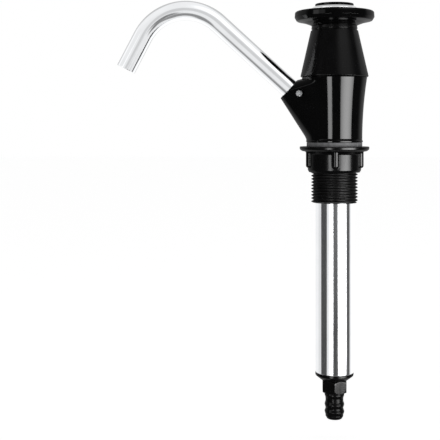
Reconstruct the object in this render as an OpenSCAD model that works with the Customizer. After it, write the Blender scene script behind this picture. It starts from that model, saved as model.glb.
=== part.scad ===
// Hand water pump for a worktop. A mushroom handle lifts the rod and piston in a long
// barrel, and the water leaves through a bent spout. A nut on the threaded tail clamps
// the body to the worktop. Sizes are in millimetres.
// The origin is on the barrel's axis, in the plane where the gasket meets the worktop.
// +Z is up, and the spout points along -X.

/* [Handle] */
// Diameter of the mushroom knob
knob_d = 57.2; // [47:0.2:68]
// Height of the knob's crown above the skirt's top
knob_h = 11.8; // [9:0.1:14]
// Height of the knob's rim
knob_rim_h = 4.2; // [3:0.1:6]
// Height of the rim's lower edge above the skirt's top
knob_rim_lift = 4.0; // [3:0.1:6]
// Diameter of the bright ring at its foot
ring_d = 32.8; // [27.2:0.2:39.6]
// Height of the bright ring
ring_h = 2.3; // [2:0.1:5]
// Width of the bright ring outside the centre cap
ring_rim = 2.5; // [1:0.1:4]
// Thickness of the centre cap's edge
cap_edge_t = 1.5; // [0.5:0.1:2.5]
// Diameter of the skirt at its top
skirt_top_d = 32.2; // [27:0.2:38.8]
// Diameter of the skirt's lip
skirt_lip_d = 48.4; // [40:0.2:57.4]
// Height of the skirt
skirt_h = 37; // [30:0.5:45]
// Wall thickness of the skirt
skirt_wall = 2.4; // [1.6:0.1:3]
// Thickness of the skirt's top web
skirt_web_t = 3; // [2:0.1:4]

/* [Rod] */
// Diameter of the rod
rod_d = 8; // [7:0.1:9.6]
// Diameter of the rod's threaded ends
rod_end_d = 6; // [4:0.1:7]

/* [Body] */
// Diameter of the body at its top
body_top_d = 46.8; // [40:0.2:52]
// Diameter of the body at its waist, just above the foot
body_waist_d = 39.8; // [36:0.2:44]
// Diameter of the rim at the body's foot
body_foot_d = 40.8; // [37:0.2:45]
// Height of the body above the gasket
body_h = 46.8; // [42:0.2:56]
// Width of the step between the barrel's bore and the body's water chamber
chamber_step = 1.4; // [1:0.1:3]

/* [Spout] */
// Outer diameter of the spout tube
spout_d = 14; // [11.6:0.2:15]
// Wall thickness of the spout tube
spout_wall = 1; // [0.6:0.1:1.5]
// Rise of the spout's long straight, in degrees above the horizontal
spout_rise = 42.5; // [38:0.5:48]
// Length of the long straight outside the socket
spout_long_l = 69.7; // [50:0.1:90]
// Centre-line radius of the bend
spout_bend_r = 34.6; // [28:0.1:44]
// Angle of the bend in degrees
spout_bend = 105; // [80:1:125]
// Length of the straight before the outlet
spout_tip_l = 26.7; // [16:0.1:40]
// How deep the spout sits in its socket
spout_depth = 16; // [14:0.5:19]
// Wall of the socket's mouth
socket_wall = 2.45; // [2:0.05:3]
// Distance of the mouth's centre from the barrel's axis
socket_reach = 32.4; // [30:0.1:36]
// Distance of the mouth's centre below the body's top
socket_drop = 8.2; // [8:0.1:12]

/* [Thread, gasket and nut] */
// Diameter over the thread's crests
thread_d = 33.25; // [30:0.05:38]
// Pitch of the thread
thread_pitch = 2.309; // [1.8:0.001:2.8]
// Depth of the thread
thread_depth = 1.48; // [1:0.01:1.5]
// Length of the threaded tail below the worktop plane
tail_l = 40.2; // [34:0.1:50]
// Width of the gasket's ring
gasket_rim = 3; // [1.9:0.025:3.5]
// Thickness of the gasket
gasket_t = 3.2; // [2:0.1:5]
// How far the nut's flange stands out
nut_flange_out = 5.8; // [4:0.1:8]
// Thickness of the flange at its edge
nut_flange_t = 2.2; // [1:0.1:2.4]
// Wall of the nut over the thread's crests
nut_wall = 2.475; // [1.6:0.025:3]
// Height of the nut
nut_h = 18.4; // [14:0.1:22]
// Number of grip ribs
nut_ribs = 5; // [4:1:8]
// Diameter of each rib's rounding
nut_rib_d = 5.2; // [5:0.1:8]
// How far the ribs stand out
nut_rib_out = 2.3; // [1.2:0.05:2.6]

/* [Barrel] */
// Wall of the tail between its thread's root and the barrel
tail_wall = 1.395; // [1.1:0.005:1.7]
// Wall thickness of the barrel
barrel_wall = 0.8; // [0.6:0.05:1]
// Length of the barrel below the worktop plane
barrel_l = 161.9; // [110:0.1:220]
// Room left between the piston's nut and the inlet cap when the handle is down
piston_room = 9.4; // [2:0.1:20]

/* [Inlet and foot valve] */
// Hexagon size across its flats
hex_af = 17; // [15.4:0.1:20]
// Height of the hexagon
hex_h = 9; // [6:0.1:12]
// Height of the cap's outer ring
cap_ring_h = 2.8; // [2:0.1:5]
// How far the hose barbs stand out
barb_out = 0.65; // [0.3:0.05:1.2]
// Diameter between the hose barbs
barb_root_d = 12.8; // [10.8:0.1:15.2]
// Spacing of the hose barbs
barb_pitch = 5.2; // [4:0.1:7]
// Number of hose barbs
barbs = 3; // [2:1:5]
// Diameter of the inlet bore
inlet_bore_d = 9; // [7.5:0.1:10]
// How much wider the foot valve's ball is than the inlet bore
ball_over = 4; // [3.8:0.1:5]
// How far the ball lifts
ball_lift = 3; // [1:0.1:4]

/* [Fits] */
// Radial clearance of parts that slide or turn on each other
running_gap = 0.05; // [0.03:0.01:0.08]
// Radial clearance of parts that are put together and stay
seat_gap = 0.05; // [0.03:0.01:0.1]
// Radial clearance between the thread and its nut
thread_gap = 0.2; // [0.15:0.01:0.3]
// Clearance round a seal in its groove
seal_gap = 0.02; // [0.01:0.01:0.04]
// Free height over a piece at its stop
stop_gap = 0.3; // [0.2:0.05:0.5]

/* [Hidden] */
$fn = 96;

// Facets of the hulls and of one turn of the thread
blend_facets = 32;
thread_facets = 24;
// Overlap of cuts beyond the faces they pass through
over = 1;

// Diameters from the thread inwards
thread_root_d = thread_d - 2 * thread_depth;
tail_bore_d = thread_root_d - 2 * tail_wall;
barrel_d = tail_bore_d - 2 * seat_gap;
barrel_bore_d = barrel_d - 2 * barrel_wall;
chamber_d = barrel_bore_d - 2 * chamber_step;

// Heights of the body
body_z0 = gasket_t;
body_z1 = body_z0 + body_h;
foot_h = 1.4;
top_round = 0.8;

// Sealing and guiding of the rod
gland_depth = 12;
gland_flange_t = 3.5;
gland_floor_t = 3;
gland_fit_d = chamber_d + 3.2;
gland_flange_d = gland_fit_d + 7.8;
bush_wall = 2.45;
bush_flange_out = 2;
bush_flange_t = 1.5;
rod_seal_t = 2.5;
seal_section = 1.4;
groove_w = 2.2;

// Barrel and tail
washer_t = 1.5;
washer_d_in = chamber_d + 0.2;
gasket_gap = 0.3;
gasket_bore_d = thread_d + 2 * gasket_gap;
nut_d = thread_d + 2 * nut_wall;
nut_flange_d = nut_d + 2 * nut_flange_out;
// Share of the pitch at the thread's root and at its crest, and by which the nut's are wider
thread_flat = 1 / 6;
nut_flat_more = 0.1;
// The threaded solid starts below the tail's end and reaches into the body
tail_into_body = 1;
tail_turns = ceil((tail_l + body_z0) / thread_pitch) + 1;
tail_z0 = body_z0 + tail_into_body - thread_pitch * (tail_turns + 1);

// Skirt and knob
skirt_z0 = body_z1;
skirt_z1 = skirt_z0 + skirt_h;
skirt_lip_h = 1.6;
skirt_groove_z = 3.2;
skirt_groove_d = 0.35;
hub_web_t = 6;
knob_hub_d = skirt_top_d + 1;
knob_z1 = skirt_z1 + knob_h;
cap_d = ring_d - 2 * ring_rim;
knob_recess_d = ring_d - 4.6;
ring_top_d = cap_d + 0.6;
ring_bore_d = cap_d - 2.8;
ring_spigot_h = 2.4;
cap_crown = 0.5;
handle_washer_d = rod_end_d + 7;
handle_washer_t = 1.2;
handle_nut_af = rod_end_d + 4;
handle_nut_h = 3.8;

// Spout socket
socket_z = body_z1 - socket_drop;
socket_d = spout_d + 2 * (seat_gap + socket_wall);
socket_seal_depth = 11.2;
passage_d = spout_d - 3;
spout_end_gap = 0.4;
spout_step = 0.03;
spout_lap = 0.2;
screw_depth = 7.2;
screw_tilt = 8;
screw_d = 3;
screw_head_d = 5.5;
screw_head_t = 1.6;
screw_seat_r = spout_d / 2 + 2.4;
screw_reach = spout_d / 2 - spout_wall - 1;
screw_slot_w = 0.9;
screw_slot_depth = 0.7;

// Piston
piston_h = 14;
piston_gap = 0.12;
piston_d = barrel_bore_d - 2 * piston_gap;
cup_h = 5;
cup_z = 4;
cup_wall = 2.45;
spacer_h = 3.6;
spacer_d = rod_end_d + 3.2;
disc_t = 1.5;
disc_bore_d = spacer_d + 0.6;
disc_d = chamber_d - 2.6;
port_d = 3.4;
port_r = disc_bore_d / 2 + 0.8 + port_d / 2;
ports = 6;
stop_washer_d = disc_d - 2.4;
stop_washer_t = 1.2;
under_washer_d = rod_end_d + 6;
under_washer_t = 1.2;
rod_nut_af = rod_end_d + 4;
rod_nut_h = 5;
rod_end_spare = 1.5;
piston_stack_h = piston_h + under_washer_t + rod_nut_h + rod_end_spare;

// Inlet cap and foot valve, from the barrel's end
cap_z = -barrel_l;
cone_h = 2.8;
hex_z1 = cap_z - cap_ring_h - cone_h;
hex_z0 = hex_z1 - hex_h;
hex_turn = -5.5;
barb_start = 1.7;
barb_rise = 2.1;
tip_h = 2;
tip_in = 1.2;
barb_z0 = hex_z0 - barb_start - barbs * barb_pitch - barb_pitch / 3;
seat_apex_z = cap_z - 5.6;
seat_gap_ball = 0.1;
ball_d = inlet_bore_d + ball_over;
barb_d = barb_root_d + 2 * barb_out;
throat_d = inlet_bore_d - 0.8;
spigot_d = barrel_bore_d - 2 * seat_gap;
spigot_wall = 0.8;
valve_bore_d = min(ball_d + 4.4, spigot_d - 2 * seal_section - 2 * spigot_wall);
ball_z = seat_apex_z + ball_d / 2 * sqrt(2) + seat_gap_ball;
cage_t = 2;
cage_z = ball_z + ball_d / 2 + ball_lift + seat_gap_ball;
cage_hole_d = 4;
cage_hole_r = min(5.4, valve_bore_d / 2 - cage_hole_d / 2 - 0.8);
cage_holes = 4;
spigot_z = cage_z + cage_t + 0.2;
spigot_groove_z = spigot_z - 5;
// The piston's top when the handle is down, and how far the handle lifts from there
piston_z1 = spigot_z + piston_room + piston_stack_h;
stroke = -stop_gap - piston_z1;

// The tapered column's radius at a height: an arc that stands upright at the waist
waist_z = body_z0 + foot_h;
taper_out = (body_top_d - body_waist_d) / 2;
taper_h = body_z1 - waist_z;
taper_r = (taper_h * taper_h + taper_out * taper_out) / (2 * taper_out);
function body_r(z) =
    body_waist_d / 2 + taper_r - sqrt(taper_r * taper_r - (z - waist_z) * (z - waist_z));

// A ring with flat ends between two diameters
module ring(d_in, d_out, z0, h) {
    translate([0, 0, z0])
        difference() {
            cylinder(d = d_out, h = h);
            translate([0, 0, -over])
                cylinder(d = d_in, h = h + 2 * over);
        }
}

// A round seal of circular section between two diameters
module round_seal(d_in, d_out, z) {
    section = (d_out - d_in) / 4 - seal_gap;
    translate([0, 0, z])
        rotate_extrude()
            translate([(d_in + d_out) / 4, 0])
                circle(r = section, $fn = 24);
}

// A hexagon prism
module hex_prism(af, h) {
    cylinder(d = af / cos(30), h = h, $fn = 6);
}

// Places its children at the socket's mouth, with +Z out along the spout
module at_socket() {
    translate([-socket_reach, 0, socket_z])
        rotate([0, spout_rise - 90, 0])
            children();
}

// Places its children where the retaining screw enters, with +Z towards the spout's axis
module at_screw() {
    at_socket()
        translate([0, 0, -screw_depth])
            rotate([0, 0, screw_tilt])
                rotate([-90, 0, 0])
                    children();
}

// A closed solid with one helical ridge. Its flanks run between the root and the crest
// radius, and the ridge fades out over the first and the last pitch of the solid.
// root_share and crest_share are the shares of the pitch at root and at crest.
module screw_solid(z0, turns, root_r, crest_r, root_share, crest_share) {
    n = thread_facets;
    flank = (1 - root_share - crest_share) / 2;
    share = [0, root_share, root_share + flank, root_share + flank + crest_share];
    rise = [0, 0, 1, 1];
    rows = len(share);
    last = turns * n;
    z1 = z0 + thread_pitch * (turns + 1);
    helix = [
        for (i = [0:last + n])
            for (k = [0:rows - 1])
                let (
                    z = z0 + thread_pitch * (i / n + share[k]),
                    fade = min(z - z0, z1 - z) / thread_pitch - 1,
                    r = root_r + (crest_r - root_r) * rise[k] * max(0, min(1, fade)),
                    a = 360 * (i % n) / n
                )
                    [r * cos(a), r * sin(a), z]
    ];
    low = [for (j = [1:n - 1]) [root_r * cos(360 * j / n), root_r * sin(360 * j / n), z0]];
    high = [for (p = low) [p[0], p[1], z1]];
    low0 = len(helix) - 1;
    high0 = low0 + n - 1;
    function at(i, k) = k < rows ? i * rows + k : (i + n) * rows;
    sheet = [
        for (i = [0:last - 1])
            for (k = [0:rows - 1])
                each [
                    [at(i, k), at(i, k + 1), at(i + 1, k + 1)],
                    [at(i, k), at(i + 1, k + 1), at(i + 1, k)],
                ]
    ];
    foot = [
        [at(0, 0), at(1, 0), low0 + 1],
        for (j = [1:n - 2]) [low0 + j, at(j, 0), at(j + 1, 0), low0 + j + 1],
        [low0 + n - 1, at(n - 1, 0), at(n, 0)],
        for (k = [rows:-1:1]) [low0 + n - 1, at(0, k), at(0, k - 1)],
        concat([at(0, 0)], [for (j = [1:n - 1]) low0 + j]),
    ];
    top = [
        [high0 + 1, at(last + 1, 0), at(last, 0)],
        for (k = [0:rows - 1]) [high0 + 1, at(last, k), at(last, k + 1)],
        for (j = [1:n - 2]) [at(last + j, 0), high0 + j, high0 + j + 1, at(last + j + 1, 0)],
        [at(last + n - 1, 0), high0 + n - 1, at(last + n, 0)],
        concat([for (j = [n - 1:-1:1]) high0 + j], [at(last + n, 0)]),
    ];
    polyhedron(points = concat(helix, low, high), faces = concat(sheet, foot, top));
}

// Outline of the knob: arcs over the rim, a domed crown and a hollowed underside
knob_r = knob_d / 2;
rim_r = knob_rim_h / 2;
rim_z = skirt_z1 + knob_rim_lift + rim_r;
rim_steps = 6;
crown_steps = 5;
under_steps = 5;
crown_in_r = ring_d / 2;
under_sag = 0.9;
rim_points = [
    for (i = [0:rim_steps])
        let (a = -70 + 150 * i / rim_steps)
            [knob_r - rim_r * (1 - cos(a)) * 0.8, rim_z + rim_r * sin(a)]
];
rim_top = rim_points[rim_steps];
rim_low = rim_points[0];
crown_points = [
    for (i = [1:crown_steps])
        let (t = i / crown_steps)
            [
                rim_top[0] + (crown_in_r - rim_top[0]) * t,
                rim_top[1] + (knob_z1 - rim_top[1]) * (1 - (1 - t) * (1 - t) * 0.5 - (1 - t) * 0.5),
            ]
];
under_points = [
    for (i = [0:under_steps - 1])
        let (t = i / under_steps)
            [
                knob_hub_d / 2 + (rim_low[0] - knob_hub_d / 2) * t,
                skirt_z1 + (rim_low[1] - skirt_z1) * t + under_sag * sin(180 * t),
            ]
];

module knob_disc() {
    color([0.02, 0.02, 0.022])
        difference() {
            rotate_extrude()
                polygon(concat([[0, skirt_z1]], under_points, rim_points, crown_points, [[0, knob_z1]]));
            translate([0, 0, skirt_z1 - over])
                cylinder(d = rod_end_d + 2 * seat_gap, h = knob_h + 2 * over);
            translate([0, 0, skirt_z1 + hub_web_t])
                cylinder(d = knob_recess_d, h = knob_h);
        }
}

module knob_ring() {
    spigot_d = knob_recess_d - 2 * seat_gap;
    color([0.86, 0.87, 0.88])
        rotate_extrude()
            polygon([
                [ring_bore_d / 2, knob_z1 - ring_spigot_h],
                [spigot_d / 2, knob_z1 - ring_spigot_h],
                [spigot_d / 2, knob_z1],
                [ring_d / 2, knob_z1],
                [ring_d / 2, knob_z1 + 0.5],
                [ring_top_d / 2, knob_z1 + ring_h],
                [ring_bore_d / 2, knob_z1 + ring_h],
            ]);
}

module knob_cap() {
    z = knob_z1 + ring_h;
    plug_d = ring_bore_d - 2 * seat_gap;
    plug_h = ring_h + ring_spigot_h;
    cup_depth = ring_h + ring_spigot_h + over;
    color([0.03, 0.03, 0.032])
        difference() {
            rotate_extrude()
                polygon([
                    [0, z - plug_h],
                    [plug_d / 2, z - plug_h],
                    [plug_d / 2, z],
                    [cap_d / 2, z],
                    [cap_d / 2, z + cap_edge_t - 0.2],
                    [cap_d / 2 - 0.3, z + cap_edge_t],
                    [cap_d / 4, z + cap_edge_t + cap_crown * 0.75],
                    [0, z + cap_edge_t + cap_crown],
                ]);
            translate([0, 0, z - cup_depth - 0.6])
                cylinder(d = plug_d - 2 * 1.4, h = cup_depth);
        }
}

module handle_skirt() {
    r0 = skirt_lip_d / 2;
    r1 = skirt_top_d / 2;
    groove = skirt_z1 - skirt_groove_z;
    slope = (r0 - r1) / skirt_h;
    inner_top = r1 - skirt_wall + slope * skirt_web_t;
    color([0.025, 0.025, 0.027])
        difference() {
            rotate_extrude()
                polygon([
                    [0, skirt_z0],
                    [r0 - 0.5, skirt_z0],
                    [r0, skirt_z0 + 0.4],
                    [r0, skirt_z0 + skirt_lip_h],
                    [r0 - 0.35, skirt_z0 + skirt_lip_h + 0.6],
                    [r1 + slope * (skirt_groove_z + 0.5), groove - 0.5],
                    [r1 - skirt_groove_d, groove - 0.3],
                    [r1 - skirt_groove_d, groove + 0.2],
                    [r1, groove + 0.5],
                    [r1, skirt_z1 - 0.6],
                    [r1 - 0.5, skirt_z1],
                    [0, skirt_z1],
                ]);
            rotate_extrude()
                polygon([
                    [0, skirt_z0 - over],
                    [r0 - skirt_wall, skirt_z0 - over],
                    [r0 - skirt_wall, skirt_z0],
                    [inner_top, skirt_z1 - skirt_web_t],
                    [0, skirt_z1 - skirt_web_t],
                ]);
            translate([0, 0, skirt_z1 - skirt_web_t - over])
                cylinder(d = rod_end_d + 2 * seat_gap, h = skirt_web_t + 2 * over);
        }
}

module handle_washer() {
    color([0.75, 0.76, 0.78])
        ring(rod_end_d + 2 * seat_gap, handle_washer_d, skirt_z1 + hub_web_t, handle_washer_t);
}

module handle_nut() {
    z = skirt_z1 + hub_web_t + handle_washer_t;
    color([0.75, 0.76, 0.78])
        difference() {
            translate([0, 0, z])
                hex_prism(handle_nut_af, handle_nut_h);
            translate([0, 0, z - over])
                cylinder(d = rod_end_d + 2 * seat_gap, h = handle_nut_h + 2 * over);
        }
}

module piston_rod() {
    shoulder_z1 = skirt_z1 - skirt_web_t;
    top_z = skirt_z1 + hub_web_t + handle_washer_t + handle_nut_h - 0.4;
    shoulder_z0 = piston_z1 + spacer_h + stop_washer_t;
    low_z = piston_z1 - piston_stack_h;
    color([0.78, 0.79, 0.8]) {
        rotate_extrude()
            polygon([
                [0, low_z],
                [rod_end_d / 2 - 0.5, low_z],
                [rod_end_d / 2, low_z + 0.5],
                [rod_end_d / 2, shoulder_z0],
                [rod_d / 2, shoulder_z0],
                [rod_d / 2, shoulder_z1],
                [rod_end_d / 2, shoulder_z1],
                [rod_end_d / 2, top_z - 0.5],
                [rod_end_d / 2 - 0.5, top_z],
                [0, top_z],
            ]);
    }
}

// Heights inside the gland: floor, seal, bush
gland_z0 = body_z1 - gland_depth;
gland_z1 = body_z1 + gland_flange_t;
rod_seal_z = gland_z0 + gland_floor_t;
bush_z0 = rod_seal_z + rod_seal_t + 0.1;
bush_d = rod_d + 2 * (running_gap + bush_wall);
gland_groove_z = gland_z0 + 4.4;

module gland_cap() {
    spigot = gland_fit_d - 2 * seat_gap;
    color([0.05, 0.05, 0.055])
        difference() {
            union() {
                translate([0, 0, gland_z0])
                    cylinder(d = spigot, h = gland_depth);
                translate([0, 0, body_z1])
                    cylinder(d = gland_flange_d, h = gland_flange_t);
            }
            ring(spigot - 2 * seal_section, spigot + 2 * over, gland_groove_z, groove_w);
            translate([0, 0, gland_z0 - over])
                cylinder(d = rod_d + 0.6, h = gland_depth);
            translate([0, 0, rod_seal_z])
                cylinder(d = bush_d + 2 * seat_gap, h = gland_depth + gland_flange_t);
            for (side = [-1, 1])
                translate([side * (gland_flange_d / 2 - 2), 0, gland_z1])
                    cube([5, 3, 3], center = true);
        }
}

module gland_seal() {
    color([0.08, 0.08, 0.08])
        round_seal(gland_fit_d - 2 * seat_gap - 2 * seal_section, gland_fit_d, gland_groove_z + groove_w / 2);
}

module rod_bush() {
    color([0.82, 0.82, 0.78])
        difference() {
            union() {
                translate([0, 0, bush_z0])
                    cylinder(d = bush_d, h = gland_z1 - bush_z0 + bush_flange_t / 2);
                translate([0, 0, gland_z1])
                    cylinder(d = bush_d + 2 * bush_flange_out, h = bush_flange_t);
            }
            translate([0, 0, bush_z0 - over])
                cylinder(d = rod_d + 2 * running_gap, h = gland_depth + gland_flange_t + 2 * over);
        }
}

module rod_seal() {
    color([0.08, 0.08, 0.08])
        ring(rod_d + 2 * running_gap, bush_d, rod_seal_z, rod_seal_t);
}

module body_column() {
    steps = 8;
    rotate_extrude()
        polygon(concat(
            [
                [0, body_z0],
                [body_foot_d / 2 - 0.3, body_z0],
                [body_foot_d / 2, body_z0 + 0.4],
                [body_foot_d / 2, body_z0 + 0.9],
            ],
            [
                for (i = [0:steps])
                    let (z = waist_z + (body_z1 - top_round - waist_z) * i / steps)
                        [body_r(z), z]
            ],
            [
                [body_r(body_z1) - top_round * 0.35, body_z1 - top_round * 0.3],
                [body_r(body_z1) - top_round, body_z1],
                [0, body_z1],
            ]
        ));
}

// Blends the socket's mouth into the column
module socket_fairing() {
    inset = 1.2;
    hull() {
        at_socket()
            translate([0, 0, -1])
                cylinder(d = socket_d, h = 1, $fn = blend_facets);
        translate([0, 0, waist_z])
            cylinder(r = body_waist_d / 2 - inset, h = 1, $fn = blend_facets);
        translate([0, 0, body_z1 - 1.4])
            cylinder(r = body_r(body_z1) - inset, h = 1, $fn = blend_facets);
    }
}

module threaded_tail() {
    end_cut = 10;
    difference() {
        screw_solid(tail_z0, tail_turns, thread_root_d / 2, thread_d / 2, thread_flat, thread_flat);
        translate([0, 0, -tail_l - end_cut])
            cylinder(d = thread_d + end_cut, h = end_cut);
    }
}

module pump_body() {
    passage_l = (socket_reach - chamber_d / 4) / cos(spout_rise);
    color([0.02, 0.02, 0.022])
        difference() {
            union() {
                body_column();
                socket_fairing();
                threaded_tail();
            }
            translate([0, 0, -tail_l - over])
                cylinder(d = tail_bore_d, h = tail_l + washer_t + over);
            cylinder(d = chamber_d, h = body_z1 + over);
            translate([0, 0, gland_z0])
                cylinder(d = gland_fit_d, h = gland_depth + over);
            at_socket() {
                translate([0, 0, -spout_depth])
                    cylinder(d = spout_d + 2 * seat_gap, h = spout_depth + over);
                translate([0, 0, -passage_l])
                    cylinder(d = passage_d, h = passage_l);
                translate([0, 0, -socket_seal_depth - groove_w])
                    cylinder(d = spout_d + 2 * seal_section, h = groove_w);
            }
            at_screw() {
                translate([0, 0, -socket_d])
                    cylinder(d = screw_d + 2 * seat_gap, h = socket_d);
                translate([0, 0, -screw_seat_r - socket_d])
                    cylinder(d = screw_head_d + 0.6, h = socket_d);
            }
        }
}

// The spout's path: straight from the socket, the bend, and the straight to the outlet,
// which is narrower than d by tip_step all round and starts a little inside the bend
module spout_solid(d, tip_step, longer) {
    at_socket() {
        translate([0, 0, spout_end_gap - spout_depth - longer])
            cylinder(d = d, h = spout_depth - spout_end_gap + spout_long_l + longer);
        translate([-spout_bend_r, 0, spout_long_l])
            rotate([90, 0, 0]) {
                rotate_extrude(angle = spout_bend)
                    translate([spout_bend_r, 0])
                        circle(d = d);
                rotate([0, 0, spout_bend])
                    translate([spout_bend_r, -spout_lap, 0])
                        rotate([-90, 0, 0])
                            cylinder(d = d - 2 * tip_step, h = spout_tip_l + spout_lap + longer);
            }
    }
}

module spout_tube() {
    color([0.82, 0.83, 0.85])
        difference() {
            spout_solid(spout_d, spout_step, 0);
            spout_solid(spout_d - 2 * spout_wall, -spout_step, over);
            at_screw()
                translate([0, 0, -spout_d])
                    cylinder(d = screw_d + 0.3, h = spout_d);
        }
}

module spout_seal() {
    color([0.08, 0.08, 0.08])
        at_socket()
            round_seal(spout_d, spout_d + 2 * seal_section, -socket_seal_depth - groove_w / 2);
}

module spout_screw() {
    color([0.72, 0.73, 0.75])
        at_screw()
            difference() {
                union() {
                    translate([0, 0, -screw_seat_r])
                        cylinder(d = screw_d, h = screw_seat_r - screw_reach);
                    translate([0, 0, -screw_seat_r - screw_head_t])
                        cylinder(d1 = screw_head_d - 0.8, d2 = screw_head_d, h = screw_head_t);
                }
                translate([0, 0, -screw_seat_r - screw_head_t]) {
                    cube([screw_slot_w, 3.4, 2 * screw_slot_depth], center = true);
                    cube([3.4, screw_slot_w, 2 * screw_slot_depth], center = true);
                }
            }
}

module gasket() {
    color([0.3, 0.3, 0.31])
        ring(gasket_bore_d, gasket_bore_d + 2 * gasket_rim, 0, gasket_t);
}

module flange_nut() {
    flange_low = 4.2;
    band_h = 1.6;
    rib_z0 = -nut_h + 3.2;
    rib_r = nut_rib_d / 2;
    rib_at = nut_d / 2 + nut_rib_out - rib_r;
    rib_round = 1.8;
    facet = 1 / cos(180 / thread_facets);
    // Whole pitches keep the nut's thread in step with the tail's
    cutter_z0 = tail_z0 + thread_pitch * (floor((tail_l - nut_h) / thread_pitch) - 1);
    cutter_turns = ceil(nut_h / thread_pitch) + 5;
    rib_turn = -94.7;
    rib_arc_steps = 5;
    color([0.02, 0.02, 0.022])
        difference() {
            union() {
                rotate_extrude()
                    polygon([
                        [0, 0],
                        [nut_flange_d / 2 - 0.3, 0],
                        [nut_flange_d / 2, -0.4],
                        [nut_flange_d / 2, -nut_flange_t],
                        [nut_flange_d / 2 - 0.4, -nut_flange_t - 0.2],
                        [nut_d / 2 + 1.2, -flange_low + 0.5],
                        [nut_d / 2, -flange_low],
                        [nut_d / 2, -nut_h + band_h + 1],
                        [nut_d / 2 - 0.3, -nut_h + band_h],
                        [nut_d / 2 - 1.1, -nut_h],
                        [0, -nut_h],
                    ]);
                for (i = [0:nut_ribs - 1])
                    rotate([0, 0, 360 * i / nut_ribs + rib_turn])
                        translate([rib_at, 0, 0])
                            rotate_extrude($fn = 48)
                                polygon([
                                    [0, -nut_flange_t - 0.4],
                                    [rib_r, -nut_flange_t - 0.4],
                                    for (k = [0:rib_arc_steps])
                                        let (a = 90 * k / rib_arc_steps)
                                            [
                                                rib_r - rib_round * (1 - cos(a)),
                                                rib_z0 + rib_round * (1 - sin(a)),
                                            ],
                                    [0, rib_z0],
                                ]);
            }
            screw_solid(
                cutter_z0,
                cutter_turns,
                (thread_root_d / 2 + thread_gap) * facet,
                (thread_d / 2 + thread_gap) * facet,
                thread_flat - nut_flat_more,
                thread_flat + nut_flat_more
            );
        }
}

module barrel_tube() {
    color([0.84, 0.85, 0.87])
        ring(barrel_bore_d, barrel_d, -barrel_l, barrel_l);
}

module barrel_washer() {
    color([0.1, 0.1, 0.1])
        ring(washer_d_in, tail_bore_d - 2 * seal_gap, 0, washer_t);
}

module valve_stop_washer() {
    color([0.75, 0.76, 0.78])
        ring(rod_end_d + 2 * seat_gap, stop_washer_d, piston_z1 + spacer_h, stop_washer_t);
}

module valve_spacer() {
    color([0.75, 0.76, 0.78])
        ring(rod_end_d + 2 * seat_gap, spacer_d, piston_z1, spacer_h);
}

module piston_valve_disc() {
    color([0.1, 0.1, 0.1])
        ring(disc_bore_d, disc_d, piston_z1, disc_t);
}

module piston() {
    groove_d = piston_d - 2 * cup_wall;
    color([0.88, 0.88, 0.85])
        difference() {
            translate([0, 0, piston_z1 - piston_h])
                cylinder(d = piston_d, h = piston_h);
            ring(groove_d, piston_d + 2 * over, piston_z1 - cup_z - cup_h, cup_h);
            translate([0, 0, piston_z1 - piston_h - over])
                cylinder(d = rod_end_d + 2 * seat_gap, h = piston_h + 2 * over);
            for (i = [0:ports - 1])
                rotate([0, 0, 360 * i / ports])
                    translate([port_r, 0, piston_z1 - piston_h - over])
                        cylinder(d = port_d, h = piston_h + 2 * over, $fn = 32);
        }
}

module piston_seal() {
    z0 = piston_z1 - cup_z - cup_h + seal_gap;
    h = cup_h - 2 * seal_gap;
    r_in = piston_d / 2 - cup_wall + running_gap;
    r_out = barrel_bore_d / 2 - running_gap;
    lip = 0.7;
    color([0.1, 0.1, 0.1])
        rotate_extrude()
            polygon([
                [r_in, z0],
                [r_out - 0.3, z0],
                [r_out - 0.3, z0 + h * 0.4],
                [r_out, z0 + h * 0.7],
                [r_out, z0 + h],
                [r_out - lip, z0 + h],
                [r_out - lip - 0.3, z0 + h * 0.4],
                [r_in + lip, z0 + h * 0.4],
                [r_in + lip, z0 + h],
                [r_in, z0 + h],
            ]);
}

module piston_washer() {
    color([0.75, 0.76, 0.78])
        ring(rod_end_d + 2 * seat_gap, under_washer_d, piston_z1 - piston_h - under_washer_t, under_washer_t);
}

module piston_nut() {
    z = piston_z1 - piston_h - under_washer_t - rod_nut_h;
    color([0.75, 0.76, 0.78])
        difference() {
            translate([0, 0, z])
                hex_prism(rod_nut_af, rod_nut_h);
            translate([0, 0, z - over])
                cylinder(d = rod_end_d + 2 * seat_gap, h = rod_nut_h + 2 * over);
        }
}

// Outline of the hose tail: each barb rises in barb_rise and eases off to the root
barb_points = [
    for (i = [0:barbs - 1])
        let (crest = hex_z0 - barb_start - (i == 0 ? 0 : i * barb_pitch + barb_pitch / 3))
            each [
                [barb_root_d / 2, i == 0 ? hex_z0 + over : crest + barb_rise],
                [barb_d / 2, crest + 0.25],
                [barb_d / 2, crest - 0.25],
            ]
];

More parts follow.
